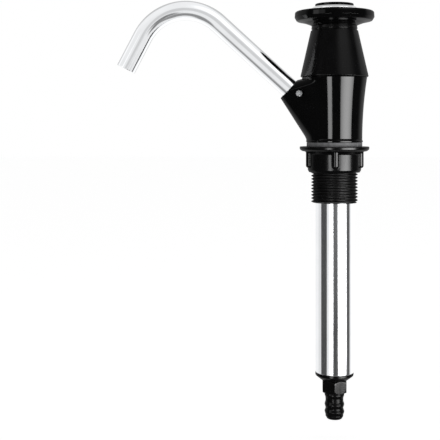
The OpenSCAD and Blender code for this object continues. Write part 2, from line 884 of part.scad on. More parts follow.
module inlet_cap() {
    color([0.03, 0.03, 0.032])
        difference() {
            union() {
                rotate_extrude()
                    polygon([
                        [0, hex_z1 - over],
                        [hex_af / 2 - 0.3, hex_z1 - over],
                        [hex_af / 2 - 0.3, hex_z1],
                        [hex_af / 2 + 1.2, hex_z1 + 0.5],
                        [barrel_d / 2 - 0.8, cap_z - cap_ring_h + 0.4],
                        [barrel_d / 2, cap_z - cap_ring_h + 1.2],
                        [barrel_d / 2, cap_z],
                        [spigot_d / 2, cap_z],
                        [spigot_d / 2, spigot_z - 0.6],
                        [spigot_d / 2 - 0.6, spigot_z],
                        [0, spigot_z],
                    ]);
                translate([0, 0, hex_z0])
                    rotate([0, 0, -90 + hex_turn])
                        hex_prism(hex_af, hex_h + 0.3);
                rotate_extrude()
                    polygon(concat(
                        [[0, hex_z0 + over]],
                        barb_points,
                        [
                            [barb_root_d / 2, barb_z0 + tip_h],
                            [barb_root_d / 2 - 0.15, barb_z0 + tip_h * 0.8],
                            [barb_root_d / 2 - tip_in, barb_z0],
                            [0, barb_z0],
                        ]
                    ));
            }
            translate([0, 0, barb_z0 - over])
                cylinder(d = inlet_bore_d, h = seat_apex_z - barb_z0 + over);
            translate([0, 0, seat_apex_z - over])
                cylinder(d = throat_d, h = spigot_z - seat_apex_z);
            translate([0, 0, seat_apex_z])
                cylinder(d1 = 0, d2 = valve_bore_d, h = valve_bore_d / 2);
            translate([0, 0, seat_apex_z + valve_bore_d / 2])
                cylinder(d = valve_bore_d, h = barrel_l);
            ring(spigot_d - 2 * seal_section, spigot_d + 2 * over, spigot_groove_z, groove_w);
        }
}

module inlet_seal() {
    color([0.08, 0.08, 0.08])
        round_seal(spigot_d - 2 * seal_section, barrel_bore_d, spigot_groove_z + groove_w / 2);
}

module foot_valve_ball() {
    color([0.7, 0.71, 0.73])
        translate([0, 0, ball_z])
            sphere(d = ball_d);
}

module foot_valve_cage() {
    color([0.88, 0.88, 0.85])
        difference() {
            translate([0, 0, cage_z])
                cylinder(d = valve_bore_d - 2 * seat_gap, h = cage_t);
            for (i = [0:cage_holes - 1])
                rotate([0, 0, 360 * i / cage_holes])
                    translate([cage_hole_r, 0, cage_z - over])
                        cylinder(d = cage_hole_d, h = cage_t + 2 * over, $fn = 32);
        }
}

knob_disc();
knob_ring();
knob_cap();
handle_skirt();
handle_nut();
handle_washer();
piston_rod();
gland_cap();
gland_seal();
rod_bush();
rod_seal();
pump_body();
spout_tube();
spout_seal();
spout_screw();
gasket();
flange_nut();
barrel_tube();
barrel_washer();
valve_stop_washer();
valve_spacer();
piston_valve_disc();
piston();
piston_seal();
piston_washer();
piston_nut();
inlet_cap();
inlet_seal();
foot_valve_ball();
foot_valve_cage();
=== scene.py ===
"""The looks of a worktop hand water pump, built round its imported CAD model.

Shapes are worked out in millimetres, in the CAD model's frame: the origin is on the barrel's
axis where the gasket meets the worktop, +Z is up and the spout points along -X.
"""
import math

import bmesh
import bpy
import numpy as np
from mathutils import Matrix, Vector
from mathutils.bvhtree import BVHTree


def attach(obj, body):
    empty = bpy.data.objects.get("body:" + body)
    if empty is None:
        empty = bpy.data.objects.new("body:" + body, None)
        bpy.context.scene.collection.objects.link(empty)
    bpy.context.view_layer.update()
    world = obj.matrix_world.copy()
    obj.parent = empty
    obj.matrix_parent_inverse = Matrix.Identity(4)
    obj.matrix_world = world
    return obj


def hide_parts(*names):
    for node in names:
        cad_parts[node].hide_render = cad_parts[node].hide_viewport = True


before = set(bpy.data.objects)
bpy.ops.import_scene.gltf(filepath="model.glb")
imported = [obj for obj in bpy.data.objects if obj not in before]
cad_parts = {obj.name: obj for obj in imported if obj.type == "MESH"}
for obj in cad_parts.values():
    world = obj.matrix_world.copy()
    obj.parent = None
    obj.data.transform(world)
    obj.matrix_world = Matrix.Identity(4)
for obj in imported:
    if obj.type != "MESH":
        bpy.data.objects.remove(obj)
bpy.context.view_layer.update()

MM = 0.001
TURN = 2 * math.pi
WELD = 0.0015  # points closer than this are one point
HOLD = 0.12  # distance of the points that hold a flat face flat beside a rounded corner
HOLD_SHARE = 0.3  # the largest share of that face they take
ROUND_SHARE = 0.42  # the largest share of a straight side that a rounded corner takes

# Sizes in millimetres, the same as the CAD model's, but for the spout: it is 0.01 mm slimmer all
# round, to stay inside the box of the CAD model's facets. R is a radius and Z a height.
ROD_HOLE_R = 3.05
SKIRT_Z0, SKIRT_Z1 = 50.0, 87.0
KNOB_FLOOR_Z, KNOB_Z1, KNOB_WELL_R = 93.0, 98.55, 14.1
RING_Z0, RING_Z1, RING_R = 96.4, 100.9, 16.4
BODY_Z0, BODY_Z1 = 3.2, 50.0
WAIST_Z, WAIST_R, TOP_R, FOOT_R = 4.6, 19.9, 23.4, 20.3
TOP_ROUND = 0.8
TAPER_R = ((BODY_Z1 - WAIST_Z) ** 2 + (TOP_R - WAIST_R) ** 2) / (2 * (TOP_R - WAIST_R))
SHOULDER_Z, SHOULDER_R, SHOULDER_ROUND = 49.6, 21.9, 2.5
FAIRING_FOOT_R = 19.4
GLAND_R, GLAND_Z0 = 13.1, 38.0
TAIL_Z0, TAIL_BORE_R, TAIL_LEDGE_Z, CHAMBER_R = -40.2, 13.75, 1.5, 11.5
THREAD_R, THREAD_ROOT_R, PITCH, THREAD_GAP = 16.625, 15.145, 2.309, 0.2
THREAD_TURNS = math.ceil((BODY_Z0 - TAIL_Z0) / PITCH) + 2
THREAD_PHASE = BODY_Z0 + 1 - PITCH * THREAD_TURNS  # the height at which the thread's turns start
GASKET_BORE_R, GASKET_R = 16.925, 19.92
NUT_R, FLANGE_R, NUT_Z0, NUT_EDGE_R = 19.1, 24.9, -18.4, THREAD_R + 0.6
RIBS, RIB_TURN, RIB_R, RIB_OUT = 5, math.radians(-94.7), 2.6, 2.3
RIB_Z0, RIB_FOOT_ROUND, RIB_FILLET = NUT_Z0 + 3.2, 1.8, 0.5
BARREL_R, BARREL_BORE_R, BARREL_Z0 = 13.7, 12.9, -161.9
PLUG_Z1, PLUG_R = -150.0, 12.85
HEX_FLAT_R, HEX_Z1, HEX_Z0, HEX_TURN = 8.5, -167.5, -176.5, math.radians(-65.5)
HEX_CORNER_ROUND, HEX_CHAMFER = 0.35, 0.55
BARB_R, BARB_ROOT_R, HOSE_TAIL_Z0 = 7.05, 6.4, -195.53
INLET_R, THROAT_R, THROAT_Z1, VALVE_R, VALVE_Z = 4.5, 4.1, -163.4, 8.7, -158.8
SPOUT_R, SPOUT_WALL = 6.99, 0.99
RISE, BEND = math.radians(42.5), math.radians(105)
MOUTH = np.array([-32.4, 0.0, 41.8])
SPOUT_DEPTH, SPOUT_LONG, BEND_R, SPOUT_TIP = 15.6, 69.7, 34.6, 26.7
SOCKET_R, SOCKET_BORE_R, SOCKET_DEPTH = 9.5, 7.05, 16.0
PASSAGE_R, PASSAGE_DEPTH = 5.5, 17.0
RIM_ROUND_TOP, RIM_ROUND_LOW = 1.8, 0.35
SCREW_DEPTH, SCREW_TILT, SCREW_START = 7.2, math.radians(8), 6.2
SCREW_SEAT, SCREW_HEAD_R, SCREW_HEAD_T, SCREW_R = 9.4, 2.9, 1.6, 1.5

# The spout's direction out of its socket, and the two directions across it
OUT = np.array([-math.cos(RISE), 0, math.sin(RISE)])
UP = np.array([math.sin(RISE), 0, math.cos(RISE)])
SIDE = np.array([0.0, 1.0, 0.0])


# Mesh helpers

def add_mesh(name, points, faces, sharp_above=None):
    """An object from points in millimetres. Edges steeper than sharp_above degrees stay sharp."""
    mesh = bpy.data.meshes.new(name)
    mesh.from_pydata([tuple(p) for p in np.asarray(points, float) * MM], [], faces)
    bm = bmesh.new()
    bm.from_mesh(mesh)
    bmesh.ops.remove_doubles(bm, verts=bm.verts, dist=WELD * MM)
    bmesh.ops.dissolve_degenerate(bm, dist=WELD * MM, edges=bm.edges)
    bmesh.ops.recalc_face_normals(bm, faces=bm.faces)
    bm.to_mesh(mesh)
    bm.free()
    mesh.shade_smooth()
    if sharp_above:
        mesh.set_sharp_from_angle(angle=math.radians(sharp_above))
    piece = bpy.data.objects.new(name, mesh)
    bpy.context.scene.collection.objects.link(piece)
    return piece


def grid_faces(rows, columns, wrap_rows=False):
    """Quads of a grid whose columns close into a ring. Point number is row * columns + column."""
    faces = []
    for i in range(rows if wrap_rows else rows - 1):
        a, b = i * columns, (i + 1) % rows * columns
        for j in range(columns):
            k = (j + 1) % columns
            faces.append((a + j, a + k, b + k, b + j))
    return faces


def sheet_faces(sheet, start=0):
    """Quads of a grid of points that doesn't close. Its points are numbered from start."""
    rows, columns = sheet.shape[:2]
    return [(start + i * columns + j, start + i * columns + j + 1,
             start + (i + 1) * columns + j + 1, start + (i + 1) * columns + j)
            for i in range(rows - 1) for j in range(columns - 1)]


def rounded(corners, closed=True, steps=6):
    """Points of an outline from corners, each (r, z) or (r, z, radius of its rounding)."""
    points = []
    count = len(corners)
    for i, corner in enumerate(corners):
        here = np.array(corner[:2], float)
        if len(corner) < 3 or (not closed and i in (0, count - 1)):
            points.append(here)
            continue
        before = np.array(corners[i - 1][:2], float) - here
        after = np.array(corners[(i + 1) % count][:2], float) - here
        len_b, len_a = np.linalg.norm(before), np.linalg.norm(after)
        before, after = before / len_b, after / len_a
        half = math.acos(max(-1.0, min(1.0, before @ after))) / 2
        reach = min(corner[2] / math.tan(half), ROUND_SHARE * len_b, ROUND_SHARE * len_a)
        radius = reach * math.tan(half)
        middle = (before + after) / np.linalg.norm(before + after)
        centre = here + middle * radius / math.sin(half)
        first, last = here + before * reach, here + after * reach
        a0 = math.atan2(*(first - centre)[::-1])
        sweep = (math.atan2(*(last - centre)[::-1]) - a0 + math.pi) % TURN - math.pi
        points.append(first + before * min(HOLD, HOLD_SHARE * (len_b - reach)))
        for k in range(steps + 1):
            a = a0 + sweep * k / steps
            points.append(centre + radius * np.array([math.cos(a), math.sin(a)]))
        points.append(last + after * min(HOLD, HOLD_SHARE * (len_a - reach)))
    return np.array(points)


def quarter(radius, degrees):
    """How far a rounded edge lies back from its two faces, at angles of its quarter turn."""
    return [(radius * (1 - math.sin(b)), radius * (1 - math.cos(b))) for b in np.radians(degrees)]


def ring(radius, z, angles):
    """Points round the Z axis. The radius is one number, or one for each angle."""
    return np.stack([radius * np.cos(angles), radius * np.sin(angles), np.full(len(angles), z)], 1)


def seamed_rings(profile, segments):
    """Rings of a turned surface whose first point comes again at the end."""
    angles = np.arange(segments + 1) * TURN / segments
    return np.array([ring(r, z, angles) for r, z in profile])


def beside(origin, along, across, other, radius, height, angle):
    """A point near a slanted axis: its radius from it, height along it and angle round it."""
    return origin + along * height + (across * math.cos(angle) + other * math.sin(angle)) * radius


def lathe(name, profile, segments=192, closed=True):
    """A turned piece. A closed profile makes a ring; an open one starts and ends on the axis."""
    angles = np.arange(segments) * TURN / segments
    points = np.concatenate([ring(r, z, angles) for r, z in profile])
    return add_mesh(name, points, grid_faces(len(profile), segments, wrap_rows=closed))


def soft_max(a, b, k):
    """The larger of a and b, rounded off where they are closer than k."""
    k = np.maximum(k, 1e-6)
    h = np.clip(0.5 + 0.5 * (a - b) / k, 0, 1)
    return b * (1 - h) + a * h + k * h * (1 - h)


def finish_piece(piece, body, slot, material, *nodes):
    """Gives a piece its material, hides the CAD nodes it stands in for, and lets it ride on its body."""
    piece.data.materials.clear()
    piece.data.materials.append(material)
    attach(piece, body)
    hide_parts(*nodes)
    return piece


# Materials

class Nodes:
    """Short ways to add nodes to a material's, a light's or a world's tree."""

    def __init__(self, tree):
        self.tree, self.links = tree, tree.links

    def node(self, kind, inputs, **settings):
        node = self.tree.nodes.new(kind)
        for key, value in settings.items():
            setattr(node, key, value)
        for key, value in inputs.items():
            if isinstance(value, bpy.types.NodeSocket):
                self.links.new(value, node.inputs[key])
            else:
                node.inputs[key].default_value = value
        return node

    def math(self, operation, *values):
        return self.node("ShaderNodeMath", dict(enumerate(values)), operation=operation).outputs[0]

    def split(self, vector):
        return self.node("ShaderNodeSeparateXYZ", {0: vector}).outputs

    def mix(self, factor, low, high):
        return self.node("ShaderNodeMix", {0: factor, 2: low, 3: high}).outputs[0]

    def spread(self, value, low, high, low_in=0.3, high_in=0.7):
        """Maps low_in to high_in onto low to high. Noise lies mostly within the given two."""
        return self.node("ShaderNodeMapRange", {
            "Value": value, "From Min": low_in, "From Max": high_in, "To Min": low, "To Max": high,
        }).outputs["Result"]

    def rise(self, value, start, end):
        """0 below start, 1 above end, and a smooth step between."""
        return self.node("ShaderNodeMapRange", {
            "Value": value, "From Min": start, "From Max": end, "To Min": 0.0, "To Max": 1.0,
        }, interpolation_type="SMOOTHSTEP").outputs["Result"]

    def directions(self, vector):
        """Azimuth (0 at the camera, + to the right) and elevation of a direction, in degrees."""
        x, y, z = self.split(vector)
        azimuth = self.math("ARCTAN2", x, self.math("MULTIPLY", y, -1.0))
        return self.math("DEGREES", azimuth), self.math("DEGREES", self.math("ARCSINE", z))

    def zones(self, vector, base, zones):
        """A level for each direction: base, and inside each zone its own level, with soft edges."""
        azimuth, elevation = self.directions(vector)
        level = base
        for az0, az1, el0, el1, value, soft in zones:
            past_end = self.rise(azimuth, az1 - soft, az1 + soft)
            inside = self.math("MULTIPLY", self.rise(azimuth, az0 - soft, az0 + soft),
                               self.math("SUBTRACT", 1.0, past_end))
            for edge, is_upper in ((el0, False), (el1, True)):
                if abs(edge) < 90:
                    step = self.rise(elevation, edge - soft, edge + soft)
                    if is_upper:
                        step = self.math("SUBTRACT", 1.0, step)
                    inside = self.math("MULTIPLY", inside, step)
            level = self.mix(inside, level, value)
        return level


class Shader(Nodes):
    """A Principled material and short ways to give it a surface."""

    def __init__(self, name, **constants):
        self.material = bpy.data.materials.new(name)
        self.material.use_nodes = True
        super().__init__(self.material.node_tree)
        self.bsdf = self.tree.nodes["Principled BSDF"]
        for socket, value in constants.items():
            self.bsdf.inputs[socket.replace("_", " ")].default_value = value
        self.coordinates = self.tree.nodes.new("ShaderNodeTexCoord").outputs["Object"]

    def noise(self, scale, detail, stretch=(1, 1, 1)):
        mapped = self.node("ShaderNodeMapping", {"Vector": self.coordinates, "Scale": stretch})
        return self.node("ShaderNodeTexNoise", {
            "Vector": mapped.outputs[0], "Scale": scale, "Detail": detail,
        }).outputs["Fac"]

    def mix_colours(self, factor, low, high):
        inputs = {0: factor, 6: (*low, 1), 7: (*high, 1)}
        return self.node("ShaderNodeMix", inputs, data_type="RGBA").outputs[2]

    def bump(self, height, distance, under=None):
        inputs = {"Height": height, "Distance": distance}
        if under:
            inputs["Normal"] = under
        return self.node("ShaderNodeBump", inputs).outputs["Normal"]

    def put(self, socket, value):
        self.links.new(value, self.bsdf.inputs[socket])


def black_plastic(name, low, high, rough, grain_depth, grain_scale):
    """Moulded black plastic: slow waves from the mould, a fine grain and a few wipe marks."""
    s = Shader(name, IOR=1.5, Specular_IOR_Level=0.5)
    cloud = s.spread(s.noise(scale=90, detail=4), 0, 1)
    wipes = s.noise(scale=420, detail=5, stretch=(1, 1, 0.18))
    s.put("Base Color", s.mix_colours(cloud, (low, low, low * 1.05), (high, high, high * 1.05)))
    s.put("Roughness", s.spread(wipes, *rough))
    waves = s.bump(s.noise(scale=55, detail=1), 0.00004)
    s.put("Normal", s.bump(s.noise(grain_scale, detail=2), grain_depth, under=waves))
    return s.material


def polished_metal(name, colour, rough, stretch, streak_scale, streak_depth):
    """Polished metal with fine polishing streaks along the direction that stretch shortens."""
    s = Shader(name, Metallic=1.0)
    streaks = s.noise(streak_scale, detail=4, stretch=stretch)
    stains = s.spread(s.noise(scale=70, detail=3), 0, 1)
    s.put("Base Color", s.mix_colours(stains, tuple(c * 0.95 for c in colour), colour))
    s.put("Roughness", s.spread(streaks, *rough))
    s.put("Normal", s.bump(streaks, streak_depth))
    return s.material


def rubber(name, low, high, rough):
    """Matt rubber with a cloudy colour and a fine tooth."""
    s = Shader(name, Specular_IOR_Level=0.4)
    s.put("Base Color", s.mix_colours(s.spread(s.noise(scale=260, detail=5), 0, 1), low, high))
    s.put("Roughness", s.spread(s.noise(scale=500, detail=3), *rough))
    s.put("Normal", s.bump(s.noise(scale=2600, detail=3), 0.00006))
    return s.material


def pale_plastic(name, low, high, rough):
    """Natural acetal: off-white, waxy, with faint flow clouds."""
    s = Shader(name, IOR=1.48, Subsurface_Weight=0.08, Subsurface_Scale=0.002)
    s.put("Base Color", s.mix_colours(s.spread(s.noise(scale=120, detail=4), 0, 1), low, high))
    s.put("Roughness", s.spread(s.noise(scale=300, detail=3), *rough))
    s.put("Normal", s.bump(s.noise(scale=900, detail=3), 0.00002))
    return s.material


# Black plastics: darkest and palest level, roughness, grain's depth in metres and scale
GLOSS = black_plastic("black_gloss", 0.0008, 0.0015, (0.035, 0.09), 0.0000012, 3000)
NUT_BLACK = black_plastic("black_half_gloss", 0.001, 0.002, (0.15, 0.24), 0.000004, 2200)
SATIN = black_plastic("black_satin", 0.0012, 0.0024, (0.13, 0.2), 0.000006, 2600)
DULL = black_plastic("black_dull", 0.002, 0.004, (0.3, 0.46), 0.00001, 1800)
# Metals: colour, roughness, the streaks' stretch, scale and depth in metres
BARREL_STEEL = polished_metal(
    "polished_barrel", (0.86, 0.87, 0.885), (0.07, 0.15), (1, 1, 0.02), 900, 0.000003)
SPOUT_STEEL = polished_metal(
    "polished_spout", (0.87, 0.88, 0.895), (0.06, 0.13), (1, 1, 1), 300, 0.000001)
CHROME = polished_metal(
    "bright_chrome", (0.9, 0.905, 0.91), (0.03, 0.07), (1, 1, 1), 200, 0.0000008)
PLAIN_STEEL = polished_metal(
    "plain_steel", (0.62, 0.63, 0.65), (0.2, 0.34), (1, 1, 0.3), 1200, 0.000004)
SCREW_STEEL = polished_metal(
    "screw_steel", (0.3, 0.305, 0.31), (0.34, 0.44), (1, 1, 1), 1200, 0.000004)
# Soft and pale materials: darkest and palest colour, roughness
GREY_RUBBER = rubber("grey_rubber", (0.11, 0.111, 0.115), (0.18, 0.181, 0.185), (0.5, 0.7))
BLACK_RUBBER = rubber("black_rubber", (0.012, 0.012, 0.012), (0.03, 0.03, 0.03), (0.5, 0.68))
ACETAL = pale_plastic("white_acetal", (0.74, 0.74, 0.7), (0.84, 0.84, 0.81), (0.32, 0.46))


# Turned pieces, as corners of their outlines: radius, height, and the corner's rounding

def make_knob():
    return lathe("knob", rounded([
        (ROD_HOLE_R, SKIRT_Z1), (16.55, SKIRT_Z1), (17.3, 87.55, 0.4), (22.0, 89.3, 6.0),
        (27.1, 90.4, 1.0), (28.55, 92.9, 0.15), (28.3, 97.05, 1.6), (RING_R, KNOB_Z1),
        (KNOB_WELL_R, KNOB_Z1, 0.15), (KNOB_WELL_R, KNOB_FLOOR_Z), (ROD_HOLE_R, KNOB_FLOOR_Z),
    ]))


def make_ring():
    return lathe("ring", rounded([
        (12.5, RING_Z0), (14.05, RING_Z0, 0.1), (14.05, KNOB_Z1), (RING_R, KNOB_Z1, 0.15),
        (16.35, 99.2, 0.3), (15.4, 100.4, 1.0), (14.2, RING_Z1, 0.4), (12.5, RING_Z1),
    ]))


def make_cap():
    return lathe("cap", rounded([
        (0, RING_Z0), (12.45, RING_Z0, 0.2), (12.45, RING_Z1), (13.85, RING_Z1, 0.12),
        (13.75, 102.6, 0.3), (11.0, 102.92), (7.0, 103.04), (0, 103.1),
    ], closed=False), closed=False)


def make_skirt():
    return lathe("skirt", rounded([
        (ROD_HOLE_R, 84.0), (13.9, 84.0, 0.8), (21.5, SKIRT_Z0, 0.2), (23.8, SKIRT_Z0, 0.3),
        (24.35, 50.5, 0.2), (24.3, 51.0, 0.3), (16.95, 83.3, 0.3), (16.15, 83.5, 0.12),
        (16.15, 84.4, 0.12), (16.55, 84.6, 0.25), (16.2, SKIRT_Z1, 0.5), (ROD_HOLE_R, SKIRT_Z1),
    ]))


def make_gasket():
    return lathe("gasket_seal", rounded([
        (GASKET_BORE_R, 0.0, 0.25), (GASKET_R, 0.0, 0.45), (GASKET_R, BODY_Z0, 0.45),
        (GASKET_BORE_R, BODY_Z0, 0.25),
    ]), 144)


def make_barrel():
    rows = [(BARREL_R, z) for z in np.linspace(-1.5, BARREL_Z0 + 1.5, 24)]
    return lathe("barrel", rounded([
        (BARREL_BORE_R, 0.0, 0.1), (BARREL_R, 0.0, 0.2), *rows,
        (BARREL_R, BARREL_Z0, 0.25), (BARREL_BORE_R, BARREL_Z0, 0.1),
    ]))


# Body: a tapered column with the spout's socket drawn out of its side. Angles round the column
# are theta, with the spout at pi. Angles round the socket are phi, with 0 at the top.

FAIRING_PAST_SIDE = 0.35  # how far past the column's sides the fairing can still stand out
BLEND = 1.6  # how softly the fairing runs into the column
BLEND_FROM, BLEND_OVER = 0.38, 0.5  # where that blend starts past the sides, and over how much
OUTSIDE = 80  # a radius well outside the body
BODY_COLUMNS = 168
PATCH = 15  # columns of the patch round the mouth, on each side of the spout's plane
PATCH_Z0 = 22.0
PATCH_RINGS, PATCH_GROWTH = 30, 5.0
PATCH_CENTRE_Z = MOUTH[2] - 0.4


def column_radius(z):
    """The tapered column's radius at a height, with its rounded top edge."""
    z = np.asarray(z, float)
    taper = WAIST_R + TAPER_R - np.sqrt(TAPER_R ** 2 - np.clip(z - WAIST_Z, 0, None) ** 2)
    up = np.clip((z - (BODY_Z1 - TOP_ROUND)) / TOP_ROUND, 0, 1)
    return taper - TOP_ROUND * (1 - np.sqrt(1 - up ** 2))


def rim_round(phi):
    """The rounding of the socket's rim, which is largest at its top."""
    return RIM_ROUND_LOW + (RIM_ROUND_TOP - RIM_ROUND_LOW) * ((1 + math.cos(phi)) / 2) ** 3


def socket_point(phi, rho, depth):
    """A point rho from the socket's axis and depth inside its mouth."""
    return beside(MOUTH, OUT, UP, SIDE, rho, -depth, phi)


def fairing_tree():
    """The skin stretched over the socket's mouth and the column, for measuring radii."""
    points = []
    for phi in np.linspace(0, TURN, 1080, endpoint=False):
        for back, depth in quarter(rim_round(phi), range(0, 91, 18)):
            points.append(socket_point(phi, SOCKET_R - back, depth))
    for a in np.linspace(math.pi / 2 - 0.6, 3 * math.pi / 2 + 0.6, 900):
        way = np.array([math.cos(a), math.sin(a), 0])
        points.append(way * FAIRING_FOOT_R + [0, 0, WAIST_Z])
        for back, down in quarter(SHOULDER_ROUND, range(0, 91, 15)):
            points.append(way * (SHOULDER_R - back) + [0, 0, SHOULDER_Z - down])
    bm = bmesh.new()
    for p in points:
        bm.verts.new(p)
    made = bmesh.ops.convex_hull(bm, input=bm.verts)
    loose = {v for v in made["geom_interior"] + made["geom_unused"] if isinstance(v, bmesh.types.BMVert)}
    bmesh.ops.delete(bm, geom=list(loose), context="VERTS")
    tree = BVHTree.FromBMesh(bm)
    bm.free()
    return tree


def body_rows():
    """The body's rows from its foot over the skin and the top edge, then down inside it."""
    foot = rounded([
        (CHAMBER_R, BODY_Z0), (FOOT_R, BODY_Z0, 0.35), (FOOT_R, 4.25, 0.3), (WAIST_R, 4.65),
    ], closed=False)[:-1]
    skin = [*np.linspace(4.7, PATCH_Z0, 15), *np.linspace(23.2, 46.0, 20)]
    skin += [46.8, 47.4, 47.9, 48.3, 48.6, 48.85, BODY_Z1 - TOP_ROUND - 0.1]
    turns = np.radians([0, 12, 25, 40, 55, 68, 80, 90])
    edge = [BODY_Z1 - TOP_ROUND + TOP_ROUND * math.sin(b) for b in turns]
    inside = rounded([
        (TOP_R, BODY_Z1), (GLAND_R, BODY_Z1, 0.2), (GLAND_R, GLAND_Z0), (CHAMBER_R, GLAND_Z0),
        (CHAMBER_R, BODY_Z0),
    ], closed=False)[1:-1]
    top_face = (float(column_radius(BODY_Z1)) - 0.15, BODY_Z1)
    return foot, skin, edge, [top_face, *inside]


def make_body(tree):
    """The column and the fairing as one skin, with a patch of rings that leads into the mouth."""

    def skin_radius(theta, z):
        column = float(column_radius(z))
        off_spout = abs(theta - math.pi)
        if off_spout > math.pi / 2 + FAIRING_PAST_SIDE or not WAIST_Z < z < SHOULDER_Z:
            return column
        way = Vector((math.cos(theta), math.sin(theta), 0))
        hit = tree.ray_cast(Vector((0, 0, z)) + way * OUTSIDE, -way)[0]
        if hit is None:
            return column
        fade = max(0.0, min(1.0, (math.pi / 2 - BLEND_FROM - off_spout) / BLEND_OVER))
        return float(soft_max(hit.xy.length, column, BLEND * fade + 1e-4))

    def turned(radius, theta, z):
        return (radius * math.cos(theta), radius * math.sin(theta), z)

    # The grid, which leaves out the faces under the patch
    columns, step = BODY_COLUMNS, TURN / BODY_COLUMNS
    foot, skin, edge, inside = body_rows()
    rows = [*foot, *[(None, z) for z in skin + edge], *inside]
    points, faces = [], []
    for r, z in rows:
        for j in range(columns):
            theta = (math.pi + (j - PATCH) * step + math.pi / 2) % TURN - math.pi / 2
            points.append(turned(skin_radius(theta, z) if r is None else r, theta, z))
    low = len(foot) + next(i for i, z in enumerate(skin) if z >= PATCH_Z0)
    high = len(foot) + len(skin) - 2
    for i in range(len(rows)):
        above = (i + 1) % len(rows)
        for j in range(columns):
            if low <= i < high and j < 2 * PATCH:
                continue
            k = (j + 1) % columns
            faces.append((i * columns + j, i * columns + k, above * columns + k, above * columns + j))

    # The patch: rings from its border to the mouth's rim, each point heading for its own phi
    border = [(low, j) for j in range(2 * PATCH)] + [(i, 2 * PATCH) for i in range(low, high)]
    border += [(high, j) for j in range(2 * PATCH, 0, -1)] + [(i, 0) for i in range(high, low, -1)]
    z_low, z_high = rows[low][1], rows[high][1]
    phis = []
    for i, j in border:
        z = rows[i][1]
        half = z_high - PATCH_CENTRE_Z if z > PATCH_CENTRE_Z else PATCH_CENTRE_Z - z_low
        phis.append(math.atan2(-(j - PATCH) / PATCH, (z - PATCH_CENTRE_Z) / half))
    rings = [[i * columns + j for i, j in border]]
    for n in range(PATCH_RINGS - 1, -1, -1):
        share = (math.exp(PATCH_GROWTH * n / PATCH_RINGS) - 1) / (math.exp(PATCH_GROWTH) - 1)
        rings.append(range(len(points), len(points) + len(border)))
        for (i, j), phi in zip(border, phis):
            rim = socket_point(phi, SOCKET_R - rim_round(phi), 0)
            if n == 0:
                points.append(rim)
                continue
            theta = math.atan2(rim[1], rim[0]) % TURN
            theta += (math.pi + (j - PATCH) * step - theta) * share
            z = rim[2] + (rows[i][1] - rim[2]) * share
            points.append(turned(skin_radius(theta, z), theta, z))

    # Over the rim's face, round the bore's lip, and down the bore to the passage's end
    bore = [(SOCKET_BORE_R + back, depth) for back, depth in quarter(0.35, [0, 22, 45, 67, 90])]
    bore += [(SOCKET_BORE_R, 1.0), (SOCKET_BORE_R, SOCKET_DEPTH), (PASSAGE_R, SOCKET_DEPTH),
             (PASSAGE_R, PASSAGE_DEPTH), (0.0, PASSAGE_DEPTH)]
    for rho, depth in [(None, 0.0), *bore]:
        rings.append(range(len(points), len(points) + len(border)))
        for phi in phis:
            r = SOCKET_R - rim_round(phi) - 0.06 if rho is None else rho
            points.append(socket_point(phi, r, depth))
    for a, b in zip(rings, rings[1:]):
        for k in range(len(a)):
            m = (k + 1) % len(a)
            faces.append((a[k], a[m], b[m], b[k]))
    return add_mesh("body_shell", points, faces, sharp_above=50)


# Tail and nut, which share the thread

def thread_profile(root_r, crest_r, root_share, crest_share, soft):
    """One pitch of a thread as (share of the pitch, radius), with softened corners."""
    flank = (1 - root_share - crest_share) / 2
    knees = [(0, root_r), (root_share, root_r), (root_share + flank, crest_r),
             (root_share + flank + crest_share, crest_r)]
    out = []
    for i, (share, r) in enumerate(knees):
        before = knees[i - 1] if i else (knees[-1][0] - 1, knees[-1][1])
        after = knees[i + 1] if i < 3 else (1, root_r)
        slope_b = (r - before[1]) / (share - before[0])
        slope_a = (after[1] - r) / (after[0] - share)
        for t in (-1, -0.5, 0, 0.5, 1):
            bend = (slope_a - slope_b) * soft * (1 + t) ** 2 / 4
            out.append((share + t * soft, r + slope_b * t * soft + bend))
    return out


def thread_sheet(z_low, z_high, profile, segments):
    """Rings of points along a helical sheet, cut flat at both heights."""
    first = math.floor((z_low - THREAD_PHASE) / PITCH) - 2
    last = math.ceil((z_high - THREAD_PHASE) / PITCH) + 2
    rows = [(n + share, r) for n in range(first, last) for share, r in profile]
    shares, radii = np.array(rows).T
    sheet = np.zeros((len(rows), segments + 1, 3))
    for i in range(segments + 1):
        a = TURN * i / segments
        z = THREAD_PHASE + PITCH * (shares + i / segments)
        z_cut = np.clip(z, z_low, z_high)
        r_cut = np.interp(z_cut, z, radii)
        sheet[:, i] = np.stack([r_cut * math.cos(a), r_cut * math.sin(a), z_cut], 1)
    return sheet


def make_tail():
    """The threaded tail. Its top is sunk into the body."""
    segments, chamfer, top_z = 120, 0.3, BODY_Z0 + 0.5
    profile = thread_profile(THREAD_ROOT_R, THREAD_R, 1 / 6, 1 / 6, soft=0.035)
    sheet = thread_sheet(TAIL_Z0, top_z, profile, segments)
    inner = seamed_rings([
        (TAIL_BORE_R + chamfer, TAIL_Z0), (TAIL_BORE_R, TAIL_Z0 + chamfer), (TAIL_BORE_R, TAIL_Z0 + 1.0),
        (TAIL_BORE_R, TAIL_LEDGE_Z), (CHAMBER_R, TAIL_LEDGE_Z), (CHAMBER_R, top_z),
    ], segments)
    end_face = (sheet[0] + inner[0]) / 2
    stack = np.concatenate([sheet[::-1], end_face[None], inner, sheet[-1][None]])
    return add_mesh("body_tail", stack.reshape(-1, 3), sheet_faces(stack), sharp_above=55)


